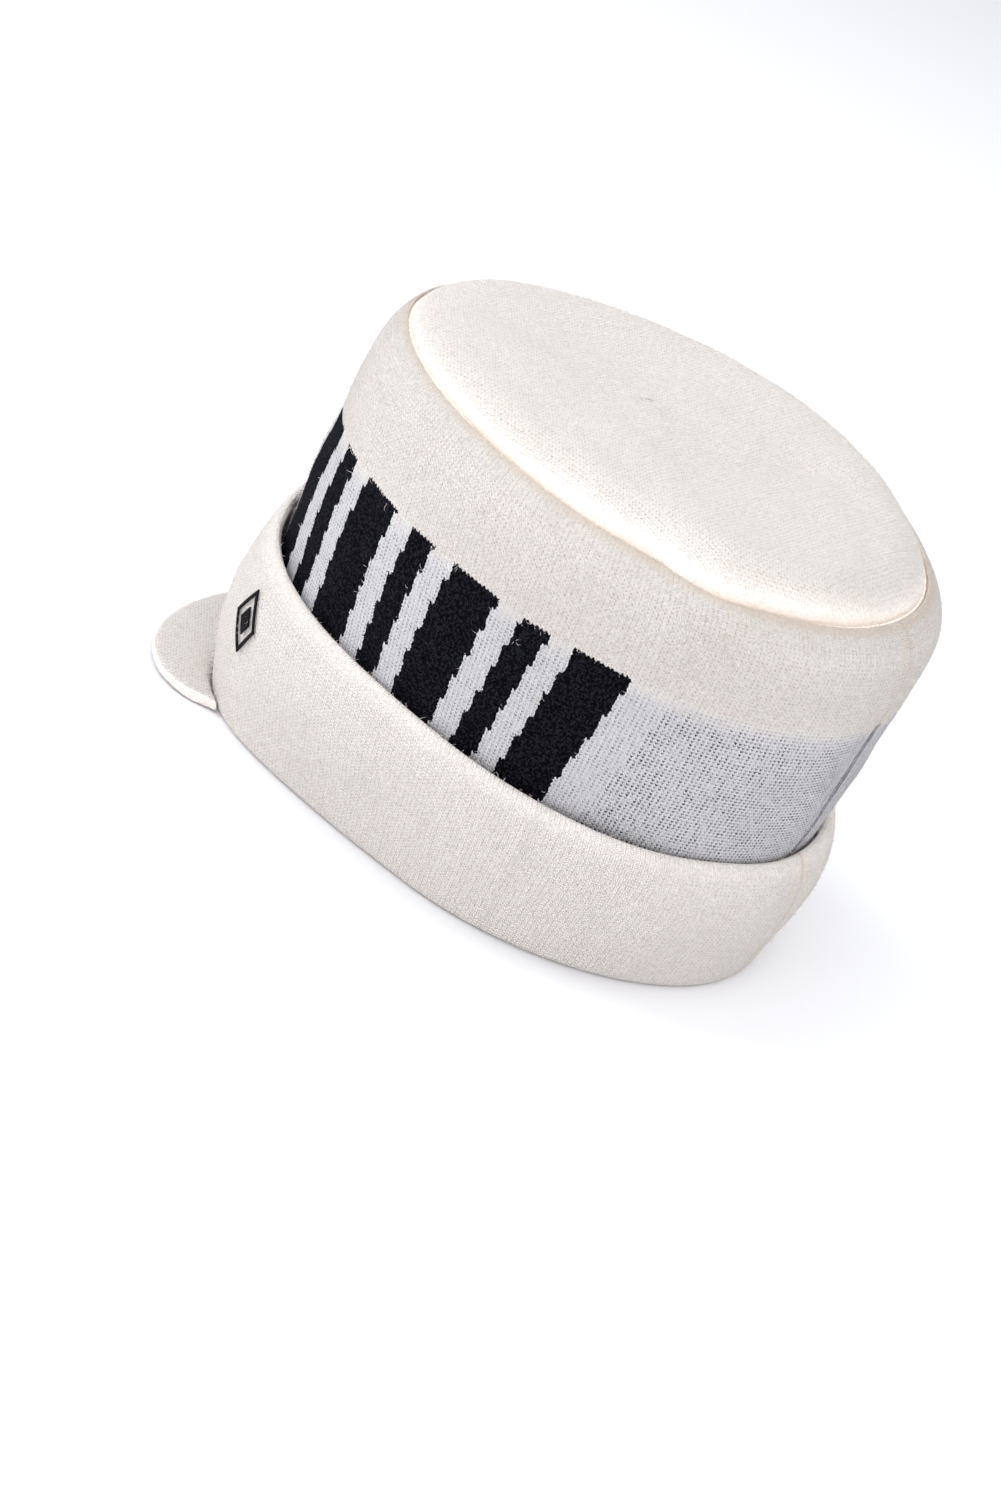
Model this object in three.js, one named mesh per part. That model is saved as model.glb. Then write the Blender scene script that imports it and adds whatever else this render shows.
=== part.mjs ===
// Knit work cap: a flat-topped crown, a turned-up cuff and a short knit-covered peak.
// Millimetres, +Z up, the peak towards -Y and the wearer's left towards +X.
// Turns run round the cap: 0 at the back, a quarter at the wearer's left, a half at the front.
import * as THREE from 'three';
import { mergeVertices } from 'three/addons/utils/BufferGeometryUtils.js';

// Driving dimensions
const crownLength = 214; // outside, front to back, at its fullest
const crownWidth = 183; // outside, ear to ear, at its fullest
const crownFrontHeight = 161; // top seam above the rim, at the front
const crownBackHeight = 142.5; // top seam above the rim, at the back
const crownLean = 10; // how far the fullest part of the crown stands behind the rim's middle
const crownWidest = 5; // the widest place of the crown, behind its own middle
const crownWall = 3; // one layer of heavy knit
const topRise = 8.5; // the soft top panel above its seam
const topWall = 3;
const rimLength = 218; // outside, front to back, at the fold
const rimWidth = 157; // outside, ear to ear, at the fold
const rimWidest = 10; // the widest place of the rim, behind its middle
const cuffFrontHeight = 67;
const cuffBackHeight = 53;
const cuffWall = 5.5; // two layers of knit and the air between them
const cuffBulge = 6; // how far the cuff swells between its fold and its edge
const frontStand = 4; // how far the cuff's edge stands off the crown
const backStand = 3;
const sideStand = 1;
const foldThickness = 3; // knit under the foot of the crown, where the cuff turns up
const foldRound = 1; // inner edge of the fold
const peakWidth = 125;
const peakReach = 29; // ahead of the rim
const peakSpring = 10; // the widest place of the peak, behind the rim's front
const peakThickness = 4.5;
const peakCrown = 1.5; // rise of the peak's middle over its sides
const peakRoot = 0.94; // width where the peak meets the rim, as a share of peakWidth
const peakSquareness = 2.1;
const peakSwing = 105; // degrees that the peak's edge runs round on each side of its middle
const seamGap = 0.3; // left between pieces that touch

// Facets
const turnSteps = 80;
const peakSteps = 26;
const mergeDistance = 0.0001;

// Outer surface of the crown, from its foot inside the cuff to the top seam.
// front, back and side are shares of half the crown's length and width, lean of crownLean.
const crownRows = [
  { height: 0.37, front: 0.992, back: 0.984, side: 0.882, lean: 0.3, squareFront: 2.3, squareBack: 2.1 },
  { height: 0.55, front: 1.018, back: 1.0, side: 0.945, lean: 0.55, squareFront: 2.2, squareBack: 2.1 },
  { height: 0.77, front: 1.007, back: 1.004, side: 0.98, lean: 0.8, squareFront: 2.1, squareBack: 2.1 },
  { height: 0.88, front: 1.0, back: 1.0, side: 1.0, lean: 1.0, squareFront: 2.1, squareBack: 2.1 },
  { height: 0.94, front: 0.986, back: 0.986, side: 0.985, lean: 1.0, squareFront: 2.1, squareBack: 2.1 },
  { height: 0.98, front: 0.957, back: 0.943, side: 0.942, lean: 1.0, squareFront: 2.1, squareBack: 2.1 },
  { height: 1.0, front: 0.935, back: 0.895, side: 0.897, lean: 1.0, squareFront: 2.1, squareBack: 2.1 },
];

// Outer surface of the cuff: spread is the share of the way from the fold to the edge that
// stands round the crown, and front, back and side are shares of cuffBulge.
const cuffRows = [
  { height: 0, spread: 0, front: 0, back: 0, side: 0, squareFront: 2.6, squareBack: 2.0 },
  { height: 0.25, spread: 0.3, front: 0.8, back: 0.1, side: 0, squareFront: 2.5, squareBack: 2.0 },
  { height: 0.5, spread: 0.6, front: 0.85, back: 0.3, side: 0.1, squareFront: 2.4, squareBack: 2.05 },
  { height: 0.8, spread: 0.95, front: 0.4, back: 0.4, side: 0.15, squareFront: 2.3, squareBack: 2.1 },
  { height: 1.0, spread: 1.0, front: 0, back: 0, side: 0.1, squareFront: 2.3, squareBack: 2.1 },
];

// Soft folds and dents: turn and turnSpread in degrees, height and heightSpread as shares
// of the piece's height, out as a share of its length.
const crownDents = [
  { turn: 53, turnSpread: 9, height: 1.0, heightSpread: 0.1, out: 0.018 },
  { turn: 68, turnSpread: 10, height: 0.98, heightSpread: 0.14, out: -0.01 },
  { turn: 205, turnSpread: 24, height: 0.72, heightSpread: 0.22, out: -0.012 },
  { turn: 276, turnSpread: 28, height: 0.98, heightSpread: 0.2, out: 0.018 },
];
const cuffDents = [
  { turn: 107, turnSpread: 24, height: 0, heightSpread: 0.5, out: -0.02 },
  { turn: 253, turnSpread: 24, height: 0, heightSpread: 0.5, out: -0.02 },
  { turn: 28, turnSpread: 16, height: 1.0, heightSpread: 0.4, out: -0.008 },
];

// Where an edge stands higher: lift is a share of the piece's height.
const crownLifts = [
  { turn: 266, turnSpread: 36, lift: 0.03 },
];
const cuffLifts = [
  { turn: 195, turnSpread: 34, lift: 0.18 },
];

// Cross-section of the crown's wall: inset and drop are shares of crownWall.
const crownStations = [
  { height: 0, inset: 0, drop: 0 },
  { height: 0.12, inset: 0, drop: 0 },
  { height: 0.25, inset: 0, drop: 0 },
  { height: 0.37, inset: 0, drop: 0 },
  { height: 0.5, inset: 0, drop: 0 },
  { height: 0.63, inset: 0, drop: 0 },
  { height: 0.77, inset: 0, drop: 0 },
  { height: 0.86, inset: 0, drop: 0 },
  { height: 0.92, inset: 0, drop: 0 },
  { height: 0.96, inset: 0, drop: 0 },
  { height: 0.985, inset: 0, drop: 0 },
  { height: 1.0, inset: 0, drop: 0 },
  { height: 1.0, inset: 0, drop: 1 },
  { height: 0.97, inset: 0.75, drop: 0.75 },
  { height: 0.92, inset: 0.95, drop: 0.4 },
  { height: 0.8, inset: 1, drop: 0 },
  { height: 0.55, inset: 1, drop: 0 },
  { height: 0.37, inset: 1, drop: 0 },
  { height: 0.18, inset: 1, drop: 0 },
  { height: 0, inset: 1, drop: 0 },
];

// Cross-section of the cuff above its foot: inset is a share of cuffWall.
const cuffStations = [
  { height: 0, inset: 0.35 },
  { height: 0.012, inset: 0.1 },
  { height: 0.04, inset: 0 },
  { height: 0.2, inset: 0 },
  { height: 0.4, inset: 0 },
  { height: 0.6, inset: 0 },
  { height: 0.78, inset: 0 },
  { height: 0.9, inset: 0 },
  { height: 0.97, inset: 0.1 },
  { height: 1.0, inset: 0.38 },
  { height: 0.995, inset: 0.72 },
  { height: 0.95, inset: 1 },
  { height: 0.7, inset: 1 },
  { height: 0.35, inset: 1 },
];

// Top panel from its seam to its middle: radius is a share of the seam's, rise of topRise.
const topStations = [
  { radius: 1.0, rise: -0.05 },
  { radius: 0.985, rise: 0.17 },
  { radius: 0.95, rise: 0.36 },
  { radius: 0.88, rise: 0.54 },
  { radius: 0.72, rise: 0.74 },
  { radius: 0.48, rise: 0.91 },
  { radius: 0.24, rise: 0.98 },
  { radius: 0, rise: 1.0 },
];

// Hollows of the top panel: across and along as shares of crownWidth and crownLength from
// the middle of the panel, spread and depth as shares of crownLength.
const topHollows = [
  { across: 0.27, along: 0.23, spread: 0.13, depth: 0.017 },
  { across: -0.15, along: -0.12, spread: 0.2, depth: 0.009 },
];
const hollowHold = 8; // the higher it is, the closer to the seam the hollows reach

// Peak from its root to its edge: reach is a share of the way, thickness of peakThickness.
const peakStations = [
  { reach: 0, thickness: 1 },
  { reach: 0.25, thickness: 1 },
  { reach: 0.5, thickness: 1 },
  { reach: 0.75, thickness: 1 },
  { reach: 0.9, thickness: 0.92 },
  { reach: 0.97, thickness: 0.62 },
  { reach: 1.0, thickness: 0 },
];

const degree = Math.PI / 180;

// A smooth reader of a table's columns at any height between its rows.
function tableReader(rows, columns) {
  const heights = rows.map((row) => row.height);
  const values = rows.flatMap((row) => columns.map((column) => row[column]));
  const curve = new THREE.CubicInterpolant(heights, values, columns.length);
  return (height) => {
    const read = curve.evaluate(height);
    return Object.fromEntries(columns.map((column, index) => [column, read[index]]));
  };
}

// The point of a squared oval at a turn, in plan.
function ovalPoint(oval, turn) {
  const sine = Math.sin(turn);
  const cosine = Math.cos(turn);
  const power = 2 / (cosine > 0 ? oval.squareBack : oval.squareFront);
  const across = Math.sign(sine) * Math.abs(sine) ** power;
  const along = Math.sign(cosine) * Math.abs(cosine) ** power;
  const reach = along > 0 ? oval.back - oval.widest : oval.widest - oval.front;
  return new THREE.Vector2(oval.side * across, oval.widest + reach * along);
}

// The angle from one turn to another, by the short way round, in shares of a spread.
function turnAway(turn, fold) {
  const away = turn - fold.turn * degree;
  return Math.atan2(Math.sin(away), Math.cos(away)) / (fold.turnSpread * degree);
}

// How far the soft folds push a surface out, in shares of its length.
function dentAt(dents, turn, height) {
  let out = 0;
  for (const dent of dents) {
    const sideways = turnAway(turn, dent);
    const upwards = (height - dent.height) / dent.heightSpread;
    out += dent.out * Math.exp(-sideways * sideways - upwards * upwards);
  }
  return out;
}

// How much higher the edge of a piece stands at a turn, fading out towards its foot.
function liftAt(lifts, turn, height) {
  let lift = 1;
  for (const fold of lifts) {
    lift += height * fold.lift * Math.exp(-(turnAway(turn, fold) ** 2));
  }
  return lift;
}

// A height that slopes evenly from the front of the crown to its back.
function slopedHeight(frontHeight, backHeight, y) {
  const share = 0.5 + y / crownLength;
  return THREE.MathUtils.lerp(frontHeight, backHeight, share);
}

// The crown's foot stands on the fold, inside the cuff.
const footHeight = foldThickness + seamGap;
const footInset = cuffWall + seamGap;
const cuffHeight = (cuffFrontHeight + cuffBackHeight) / 2;
const footShare = footHeight / cuffHeight;
const crownFoot = {
  height: 0,
  front: (rimLength / 2 - footInset) / (crownLength / 2),
  back: (rimLength / 2 - footInset) / (crownLength / 2),
  side: (rimWidth / 2 - footInset) / (crownWidth / 2),
  lean: 0,
  squareFront: cuffRows[0].squareFront,
  squareBack: cuffRows[0].squareBack,
};
const ovalColumns = ['front', 'back', 'side', 'squareFront', 'squareBack'];
const readCrown = tableReader([crownFoot, ...crownRows], [...ovalColumns, 'lean']);

function crownOval(height) {
  const row = readCrown(height);
  const middle = crownLean * row.lean;
  return {
    ...row,
    front: middle - crownLength / 2 * row.front,
    back: middle + crownLength / 2 * row.back,
    side: crownWidth / 2 * row.side,
    widest: middle + THREE.MathUtils.lerp(rimWidest, crownWidest, row.lean),
  };
}

// The cuff's edge stands round the crown at the cuff's own height.
const crownHeight = (crownFrontHeight + crownBackHeight) / 2;
const crownAtEdge = crownOval((cuffHeight - footHeight) / (crownHeight - footHeight));
const readCuff = tableReader(cuffRows, [...ovalColumns, 'spread']);

function cuffOval(height) {
  const row = readCuff(height);
  const edgeFront = crownAtEdge.front - frontStand - cuffWall;
  const edgeBack = crownAtEdge.back + backStand + cuffWall;
  const edgeSide = crownAtEdge.side + sideStand + cuffWall;
  return {
    ...row,
    front: THREE.MathUtils.lerp(-rimLength / 2, edgeFront, row.spread) - cuffBulge * row.front,
    back: THREE.MathUtils.lerp(rimLength / 2, edgeBack, row.spread) + cuffBulge * row.back,
    side: THREE.MathUtils.lerp(rimWidth / 2, edgeSide, row.spread) + cuffBulge * row.side,
    widest: THREE.MathUtils.lerp(rimWidest, crownAtEdge.widest, row.spread),
  };
}

// A point of the cuff's outer surface moved level towards the head by inset.
function cuffPoint(height, turn, inset) {
  const plan = insetPlan(cuffOval(height), turn, inset - rimLength * dentAt(cuffDents, turn, height));
  const level = height * slopedHeight(cuffFrontHeight, cuffBackHeight, plan.y);
  return new THREE.Vector3(plan.x, plan.y, level * liftAt(cuffLifts, turn, height));
}

// The point of an oval moved square to its outline, in plan, towards its middle.
function insetPlan(oval, turn, inset) {
  const nudge = 0.01;
  const before = ovalPoint(oval, turn - nudge);
  const after = ovalPoint(oval, turn + nudge);
  const along = after.sub(before).normalize();
  const plan = ovalPoint(oval, turn);
  plan.x += along.y * inset;
  plan.y -= along.x * inset;
  return plan;
}

// Dents of the cuff's foot carry into the crown's foot and fade out above it.
function crownPoint(height, turn, inset, drop) {
  const footFade = Math.max(0, 1 - height / crownRows[0].height);
  const footDent = rimLength * dentAt(cuffDents, turn, footShare) * footFade;
  const dent = crownLength * dentAt(crownDents, turn, height);
  const plan = insetPlan(crownOval(height), turn, inset - dent - footDent);
  const evenHeight = slopedHeight(crownFrontHeight, crownBackHeight, plan.y);
  const seamHeight = evenHeight * liftAt(crownLifts, turn, height);
  return new THREE.Vector3(plan.x, plan.y, THREE.MathUtils.lerp(footHeight, seamHeight, height) - drop);
}

// One solid from a geometry whose doubled vertices are merged and whose flat faces are dropped.
function closedSolid(geometry) {
  geometry.deleteAttribute('normal');
  geometry.deleteAttribute('uv');
  geometry.clearGroups();
  const merged = mergeVertices(geometry, mergeDistance);
  const index = merged.getIndex().array;
  const kept = [];
  for (let i = 0; i < index.length; i += 3) {
    const [a, b, c] = [index[i], index[i + 1], index[i + 2]];
    if (a !== b && b !== c && c !== a) {
      kept.push(a, b, c);
    }
  }
  merged.setIndex(kept);
  merged.computeVertexNormals();
  return merged;
}

// A wall swept once round the cap: its cross-section is a list of stations, and place gives
// the point of a station at a turn.
function sweptWall(stations, place) {
  const profile = stations.map((station, index) => new THREE.Vector2(1, index));
  const geometry = new THREE.LatheGeometry(profile, turnSteps);
  const position = geometry.getAttribute('position');
  for (let vertex = 0; vertex < position.count; vertex += 1) {
    const station = stations[vertex % stations.length];
    const step = Math.floor(vertex / stations.length) % turnSteps;
    const point = place(station, (1 - step / turnSteps) * 2 * Math.PI);
    position.setXYZ(vertex, point.x, point.y, point.z);
  }
  return closedSolid(geometry);
}

function crownSideGeometry() {
  const loop = [...crownStations, crownStations[0]];
  return sweptWall(loop, (station, turn) =>
    crownPoint(station.height, turn, station.inset * crownWall, station.drop * crownWall));
}

// The cuff's foot turns in under the crown's foot, and its underside is flat on the rim plane.
function cuffGeometry() {
  const ledge = footInset + crownWall;
  const foot = [
    { level: foldThickness, depth: cuffWall },
    { level: foldThickness, depth: ledge },
    { level: foldRound, depth: ledge },
    { level: 0, depth: ledge - foldRound },
  ];
  const loop = [...cuffStations, ...foot, cuffStations[0]];
  return sweptWall(loop, (station, turn) => {
    if (station.depth === undefined) {
      return cuffPoint(station.height, turn, station.inset * cuffWall);
    }
    const point = cuffPoint(footShare, turn, station.depth);
    point.z = station.level;
    return point;
  });
}

// The top panel fills the seam ring less a gap, and is as thick as topWall all over.
function topGeometry() {
  const above = topStations.map((station) => ({ ...station, drop: 0 }));
  const under = topStations.map((station) => ({ ...station, drop: topWall })).reverse();
  const seam = crownOval(1);
  const middle = new THREE.Vector2(0, (seam.front + seam.back) / 2);
  const middleHeight = slopedHeight(crownFrontHeight, crownBackHeight, middle.y);
  return sweptWall([...under, ...above], (station, turn) => {
    const edge = crownPoint(1, turn, seamGap, 0);
    const plan = new THREE.Vector2(edge.x, edge.y).lerp(middle, 1 - station.radius);
    const flat = THREE.MathUtils.lerp(middleHeight, edge.z, station.radius);
    const hollow = hollowDepth(plan, middle) * (1 - station.radius ** hollowHold);
    return new THREE.Vector3(plan.x, plan.y, flat + station.rise * topRise - hollow - station.drop);
  });
}

function hollowDepth(plan, middle) {
  let depth = 0;
  for (const hollow of topHollows) {
    const across = (plan.x - hollow.across * crownWidth) / (hollow.spread * crownLength);
    const along = (plan.y - middle.y - hollow.along * crownLength) / (hollow.spread * crownLength);
    depth += hollow.depth * crownLength * Math.exp(-across * across - along * along);
  }
  return depth;
}

// The peak is a fan of stations from the cuff's foot out to a rounded edge.
function peakGeometry() {
  const geometry = new THREE.BoxGeometry(1, 1, 1, peakSteps, peakStations.length - 1, 1);
  const position = geometry.getAttribute('position');
  for (let vertex = 0; vertex < position.count; vertex += 1) {
    const swing = -2 * position.getX(vertex);
    const station = peakStations[Math.round((position.getY(vertex) + 0.5) * (peakStations.length - 1))];
    const point = peakPoint(swing, station, Math.sign(position.getZ(vertex)));
    position.setXYZ(vertex, point.x, point.y, point.z);
  }
  return closedSolid(geometry);
}

// swing runs from -1 at the wearer's right to 1 at the left, face is 1 above and -1 below.
// The root follows the cuff's foot for as long as the peak is wide there.
function peakPoint(swing, station, face) {
  const rim = cuffOval(0);
  const outline = {
    front: rim.front - peakReach,
    back: rim.front + peakSpring + peakReach,
    widest: rim.front + peakSpring,
    side: peakWidth / 2,
    squareFront: peakSquareness,
    squareBack: peakSquareness,
  };
  const edge = ovalPoint(outline, Math.PI - swing * peakSwing * degree);
  const sag = peakCrown * (edge.x / outline.side) ** 2;
  const underside = seamGap + peakCrown - sag;
  const level = underside + peakThickness * (1 + face * station.thickness) / 2;
  const rootSwing = Math.asin((peakRoot * peakWidth / rimWidth) ** (rim.squareFront / 2));
  const root = cuffPoint(level / cuffFrontHeight, Math.PI - swing * rootSwing, -seamGap);
  const plan = new THREE.Vector2(root.x, root.y).lerp(edge, station.reach);
  return new THREE.Vector3(plan.x, plan.y, level);
}

function knit(colour) {
  return new THREE.MeshStandardMaterial({ color: colour, roughness: 0.95, metalness: 0 });
}

function piece(name, geometry, colour) {
  const mesh = new THREE.Mesh(geometry, knit(colour));
  mesh.name = name;
  return mesh;
}

// The cap stands on its rim, with the middle of its box over the origin.
const group = new THREE.Group();
group.add(piece('crown_top', topGeometry(), '#efe6da'));
group.add(piece('crown_side', crownSideGeometry(), '#e6e2df'));
group.add(piece('cuff', cuffGeometry(), '#ece3d9'));
group.add(piece('peak', peakGeometry(), '#eee7df'));
const box = new THREE.Box3().setFromObject(group);
const middle = box.getCenter(new THREE.Vector3());
group.position.set(-middle.x, -middle.y, 0);
group.updateMatrixWorld(true);

export default group;
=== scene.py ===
import math

import bpy
import numpy as np
from mathutils import Matrix, Vector


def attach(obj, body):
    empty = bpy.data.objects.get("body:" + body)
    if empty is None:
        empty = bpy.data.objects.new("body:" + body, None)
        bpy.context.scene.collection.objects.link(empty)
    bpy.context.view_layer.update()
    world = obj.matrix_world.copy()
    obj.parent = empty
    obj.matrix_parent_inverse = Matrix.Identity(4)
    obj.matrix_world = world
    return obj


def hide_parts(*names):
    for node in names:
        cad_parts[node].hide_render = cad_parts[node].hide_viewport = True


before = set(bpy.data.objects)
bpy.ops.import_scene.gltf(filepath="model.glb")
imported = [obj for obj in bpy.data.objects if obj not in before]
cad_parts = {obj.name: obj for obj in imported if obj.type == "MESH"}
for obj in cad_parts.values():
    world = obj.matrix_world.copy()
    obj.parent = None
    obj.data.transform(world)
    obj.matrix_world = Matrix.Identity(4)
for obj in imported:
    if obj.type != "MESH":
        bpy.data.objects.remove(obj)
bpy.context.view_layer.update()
backSeam = 0.00146  # the X of the back seam
print("frame loaded")


# Camera: where it stands, its right, its up and the way back from the cap
cameraSet = {
    "place": (0.8552, 0.3984, 0.4911),
    "right": (-0.5443, 0.7628, 0.3493),
    "up": (-0.2106, -0.5273, 0.8232),
    "back": (0.8120, 0.3745, 0.4476),
    "lens": 72,
}


def makeCamera(kit):
    bpy.ops.object.camera_add(location=kit["place"])
    camera = bpy.context.object
    camera.name = "studioCamera"
    turn = Matrix((kit["right"], kit["up"], kit["back"])).transposed()
    camera.rotation_euler = turn.to_euler()
    camera.data.sensor_width = 36
    camera.data.lens = kit["lens"]
    camera.data.clip_end = 60
    bpy.context.scene.camera = camera
    return camera


makeCamera(cameraSet)
print("camera placed")


# Shader tools
class Wire:
    # an output of a node: arithmetic on it adds Math nodes
    def __init__(self, finish, socket):
        self.finish = finish
        self.socket = socket

    def output(self, index):
        return Wire(self.finish, self.socket.node.outputs[index])

    def math(self, operation, *values):
        return self.finish.node("ShaderNodeMath", {"operation": operation}, dict(enumerate(values)))

    def __add__(self, other):
        return self.math("ADD", self, other)

    def __radd__(self, other):
        return self.math("ADD", other, self)

    def __sub__(self, other):
        return self.math("SUBTRACT", self, other)

    def __rsub__(self, other):
        return self.math("SUBTRACT", other, self)

    def __mul__(self, other):
        return self.math("MULTIPLY", self, other)

    def __rmul__(self, other):
        return self.math("MULTIPLY", other, self)

    def __truediv__(self, other):
        return self.math("DIVIDE", self, other)

    def __pow__(self, other):
        return self.math("POWER", self, other)

    def __abs__(self):
        return self.math("ABSOLUTE", self)

    def __gt__(self, other):
        return self.math("GREATER_THAN", self, other)

    def __lt__(self, other):
        return self.math("LESS_THAN", self, other)

    def floor(self):
        return self.math("FLOOR", self)

    def fract(self):
        return self.math("FRACT", self)

    def least(self, other):
        return self.math("MINIMUM", self, other)

    def most(self, other):
        return self.math("MAXIMUM", self, other)

    def rise(self, low, high):
        # 0 below low, 1 above high and smooth between
        return self.finish.node(
            "ShaderNodeMapRange", {"interpolation_type": "SMOOTHSTEP"},
            {0: self, 1: low, 2: high, 3: 0.0, 4: 1.0})


class Finish:
    def __init__(self, name, settings):
        self.material = bpy.data.materials.new(name)
        self.material.use_nodes = True
        self.nodes = self.material.node_tree.nodes
        self.links = self.material.node_tree.links
        self.shader = self.nodes["Principled BSDF"]
        for key, value in settings.items():
            self.shader.inputs[key].default_value = value

    def join(self, value, socket):
        if isinstance(value, Wire):
            self.links.new(value.socket, socket)
        else:
            socket.default_value = value

    def node(self, kind, settings=None, inputs=None, output=0):
        made = self.nodes.new(kind)
        for key, value in (settings or {}).items():
            setattr(made, key, value)
        for key, value in (inputs or {}).items():
            self.join(value, made.inputs[key])
        return Wire(self, made.outputs[output])

    def blend(self, share, first, second):
        # share 0 gives the first colour and 1 the second
        return self.node("ShaderNodeMix", {"data_type": "RGBA"}, {0: share, 6: first, 7: second}, 2)

    def noise(self, place, scale, detail=2.0, roughness=0.5):
        return self.node(
            "ShaderNodeTexNoise", {},
            {"Vector": place, "Scale": scale, "Detail": detail, "Roughness": roughness})

    def point(self, x, y, z=0.0):
        return self.node("ShaderNodeCombineXYZ", {}, {0: x, 1: y, 2: z})

    def uv(self):
        place = self.node("ShaderNodeUVMap", {"uv_map": "knit"})
        return self.node("ShaderNodeSeparateXYZ", {}, {0: place})

    def mark(self, name):
        return self.node("ShaderNodeAttribute", {"attribute_name": name}, {}, 2)

    def object(self):
        return self.node("ShaderNodeTexCoord", {}, {}, 3)

    def paint(self, colour, height, depth, roughness=None):
        self.join(colour, self.shader.inputs["Base Color"])
        normal = self.node(
            "ShaderNodeBump", {}, {"Strength": 1.0, "Distance": depth, "Height": height})
        self.join(normal, self.shader.inputs["Normal"])
        if roughness is not None:
            self.join(roughness, self.shader.inputs["Roughness"])
        return self.material


# Stockinette: each wale is a row of V stitches whose legs lean out from its middle
def stitches(across, up, lean):
    side = abs(across.fract() - 0.5)
    bent = up - side * lean
    strand = bent.fract() * 2 - 1
    leg = side * 4 - 1
    relief = (1 - strand * strand) * (1 - leg * leg)
    hole = ((1 - side * 2) * abs(strand)).rise(0.5, 0.9)
    return relief, hole, bent


# Studio
studioSet = {
    "floor": 30.0,
    "floorColour": (0.76, 0.76, 0.785, 1),
    "floorLight": (0.79, 0.79, 0.81, 1),
    "floorMottle": 3.0,
    "floorShare": 0.15,
    "floorGrain": 900.0,
    "floorDepth": 0.00005,
    "world": (1.0, 1.0, 1.0, 1),
    "worldStrength": 0.72,
    "lights": [
        {"name": "keyLight", "from": (0.5, -1.7, 1.4), "size": 1.4, "power": 34,
         "tint": (0.95, 0.98, 1.0)},
        {"name": "backLight", "from": (-0.9, 1.3, 1.7), "size": 1.4, "power": 15},
        {"name": "topLight", "from": (0.2, 0.1, 2.2), "size": 1.8, "power": 19,
         "tint": (0.93, 0.97, 1.0)},
        {"name": "sideLight", "from": (1.7, 1.1, 0.7), "size": 1.3, "power": 15},
        {"name": "lowLight", "from": (1.5, 0.2, 0.26), "size": 1.2, "power": 10},
    ],
    "lookAt": (0.0, 0.0, 0.08),
}


def makeStudio(kit):
    bpy.ops.object.select_all(action="DESELECT")
    bpy.ops.mesh.primitive_plane_add(size=kit["floor"])
    floor = bpy.context.object
    floor.name = "floor"
    finish = Finish("paleFloor", {"Roughness": 0.55})
    place = finish.object()
    tone = finish.noise(place, kit["floorMottle"], 3.0)
    colour = finish.blend(tone * kit["floorShare"], kit["floorColour"], kit["floorLight"])
    grain = finish.noise(place, kit["floorGrain"])
    floor.data.materials.append(finish.paint(colour, grain, kit["floorDepth"]))
    for light in kit["lights"]:
        place = Vector(light["from"])
        bpy.ops.object.light_add(type="AREA", location=place)
        lamp = bpy.context.object
        lamp.name = light["name"]
        lamp.data.energy = light["power"]
        lamp.data.size = light["size"]
        lamp.data.color = light.get("tint", (1, 1, 1))
        lamp.rotation_euler = (place - Vector(kit["lookAt"])).to_track_quat("Z", "Y").to_euler()
    world = bpy.data.worlds.new("studioWorld")
    world.use_nodes = True
    back = world.node_tree.nodes["Background"]
    back.inputs["Color"].default_value = kit["world"]
    back.inputs["Strength"].default_value = kit["worldStrength"]
    bpy.context.scene.world = world
    bpy.context.scene.view_settings.view_transform = "Standard"


makeStudio(studioSet)
print("studio made")


# Mesh tools
fullTurn = 2 * math.pi


def takeHold(piece, mode="OBJECT"):
    if bpy.context.mode != "OBJECT":
        bpy.ops.object.mode_set(mode="OBJECT")
    bpy.ops.object.select_all(action="DESELECT")
    piece.select_set(True)
    bpy.context.view_layer.objects.active = piece
    bpy.ops.object.mode_set(mode=mode)


def applyModifier(piece, kind, settings):
    takeHold(piece)
    modifier = piece.modifiers.new(kind.lower(), kind)
    for key, value in settings.items():
        setattr(modifier, key, value)
    bpy.ops.object.modifier_apply(modifier=modifier.name)


def clothCopy(node, name, fineness):
    # the CAD node's own surface as a smooth grid of four-sided faces
    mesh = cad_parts[node].data.copy()
    mesh.materials.clear()
    piece = bpy.data.objects.new(name, mesh)
    bpy.context.scene.collection.objects.link(piece)
    takeHold(piece)
    bpy.ops.mesh.customdata_custom_splitnormals_clear()
    takeHold(piece, "EDIT")
    bpy.ops.mesh.select_all(action="SELECT")
    bpy.ops.mesh.remove_doubles(threshold=0.000005)
    bpy.ops.mesh.tris_convert_to_quads(face_threshold=math.pi, shape_threshold=math.pi)
    bpy.ops.object.mode_set(mode="OBJECT")
    applyModifier(piece, "SUBSURF", {"levels": fineness, "render_levels": fineness})
    bpy.ops.object.shade_smooth()
    return piece


def places(mesh):
    flat = np.empty(len(mesh.vertices) * 3, np.float64)
    mesh.vertices.foreach_get("co", flat)
    return flat.reshape(-1, 3)


def faceOut(mesh):
    flat = np.empty(len(mesh.vertices) * 3)
    mesh.vertex_normals.foreach_get("vector", flat)
    return flat.reshape(-1, 3)


def loopOwners(mesh):
    owners = np.empty(len(mesh.loops), int)
    mesh.loops.foreach_get("vertex_index", owners)
    return owners


def faceValues(mesh, name, width):
    flat = np.empty(len(mesh.polygons) * width)
    mesh.polygons.foreach_get(name, flat)
    return flat.reshape(-1, width)


def shiftPoints(piece, moves):
    piece.data.vertices.foreach_set("co", (places(piece.data) + moves).reshape(-1))
    piece.data.update()


def eased(share):
    return share * share * (3 - 2 * share)


def evened(values, reach):
    # the average of each value and its neighbours round the ring
    near = range(-reach, reach + 1)
    return sum(np.roll(values, shift, axis=0) for shift in near) / len(near)


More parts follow.
